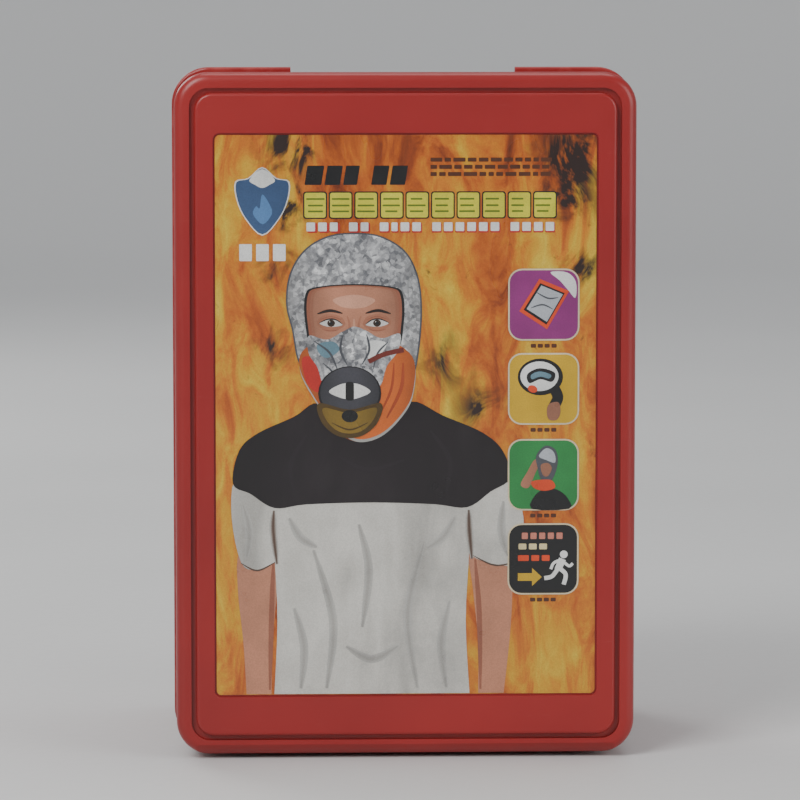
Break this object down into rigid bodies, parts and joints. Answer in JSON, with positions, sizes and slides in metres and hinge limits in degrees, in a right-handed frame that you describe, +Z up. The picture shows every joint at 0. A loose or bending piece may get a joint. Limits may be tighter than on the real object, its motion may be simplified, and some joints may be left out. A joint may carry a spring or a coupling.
{
  "type": "smoke hood",
  "caption": "Boxed filtering smoke hood: hinged red case around a vacuum-packed silver hood with visor, half mask and filter canister.",
  "frame": {"origin": "ground level under the middle of the standing case", "axes": "+Z up along the case's height, -Y out of the front cover, X along the cover's hinge"},
  "size_m": [0.144, 0.106, 0.2135],
  "materials": {
    "red_shell": "moulded ABS, fine satin texture",
    "label_print": "printed, laminated label",
    "leaflet_paper": "folded leaflet",
    "steel": "bright drawn",
    "pouch_film": "clear vacuum film",
    "pouch_foil": "crinkled laminate foil",
    "silver_cloth": "aluminised flame-retardant cloth",
    "orange_cloth": "flame-retardant cotton",
    "visor_film": "clear heat-resistant film",
    "binding_tape": "black woven tape",
    "reflective_tape": "retroreflective, lime edges",
    "red_webbing": "dark red elastic webbing",
    "black_plastic": "moulded nylon",
    "mask_silicone": "satin silicone",
    "valve_rubber": "soft silicone",
    "canister_metal": "satin drawn, clear lacquer",
    "canister_cap": "gold lacquer on tinplate",
    "red_rubber": "moulded rubber",
    "screen_metal": "perforated sheet",
    "filter_paper": "pleated glass-fibre paper",
    "white_felt": "needled felt",
    "carbon": "activated carbon granules",
    "desiccant": "drying granules",
    "catalyst": "carbon monoxide catalyst granules"
  },
  "bodies": {
    "base": {"case_base": "red_shell", "hinge_pins": "steel", "instruction_leaflet": "leaflet_paper", "pouch_front_film": "pouch_film", "pouch_back_foil": "pouch_foil", "hood_crown": "silver_cloth", "neck_skirt": "orange_cloth", "visor_film": "visor_film", "visor_binding": "binding_tape", "reflective_bands": "reflective_tape", "neck_elastic": "binding_tape", "head_strap": "red_webbing", "half_mask": "mask_silicone", "mask_ring": "black_plastic", "port_gasket": "valve_rubber", "exhalation_seat": "black_plastic", "exhalation_cover": "black_plastic", "canister_body": "canister_metal", "canister_cover": "canister_cap", "cover_seal_ring": "valve_rubber", "inhalation_seat": "black_plastic", "inlet_screen": "screen_metal", "outlet_screen": "screen_metal", "particulate_filter": "filter_paper", "front_felt": "white_felt", "rear_felt": "white_felt", "carbon_bed": "carbon", "desiccant_bed": "desiccant", "catalyst_bed": "catalyst", "bed_spring": "steel"},
    "cover": {"case_cover": "red_shell", "front_label": "label_print"},
    "inlet_plug": {"inlet_plug": "red_rubber"},
    "outlet_plug": {"outlet_plug": "red_rubber"},
    "inhalation_flap": {"inhalation_flap": "valve_rubber"},
    "exhalation_flap": {"exhalation_flap": "valve_rubber"},
    "strap_slider": {"strap_slider": "black_plastic"}
  },
  "joints": [
    {"name": "cover_hinge", "type": "hinge", "parent": "base", "child": "cover", "pos_m": [0, -0.0438, 0.0095], "axis": [1, 0, 0], "range_deg": [0, 90]},
    {"name": "inlet_plug_pull", "type": "slide", "parent": "base", "child": "inlet_plug", "axis": [0, -1, 0], "range_m": [0, 0.006]},
    {"name": "outlet_plug_pull", "type": "slide", "parent": "base", "child": "outlet_plug", "axis": [0, 1, 0], "range_m": [0, 0.012]},
    {"name": "inhalation_valve", "type": "slide", "parent": "base", "child": "inhalation_flap", "axis": [0, 1, 0], "range_m": [0, 0.0011]},
    {"name": "exhalation_valve", "type": "slide", "parent": "base", "child": "exhalation_flap", "axis": [0, 0, -1], "range_m": [0, 0.0012]},
    {"name": "strap_slider_slide", "type": "slide", "parent": "base", "child": "strap_slider", "axis": [1, 0, 0], "range_m": [-0.006, 0.006]}
  ]
}
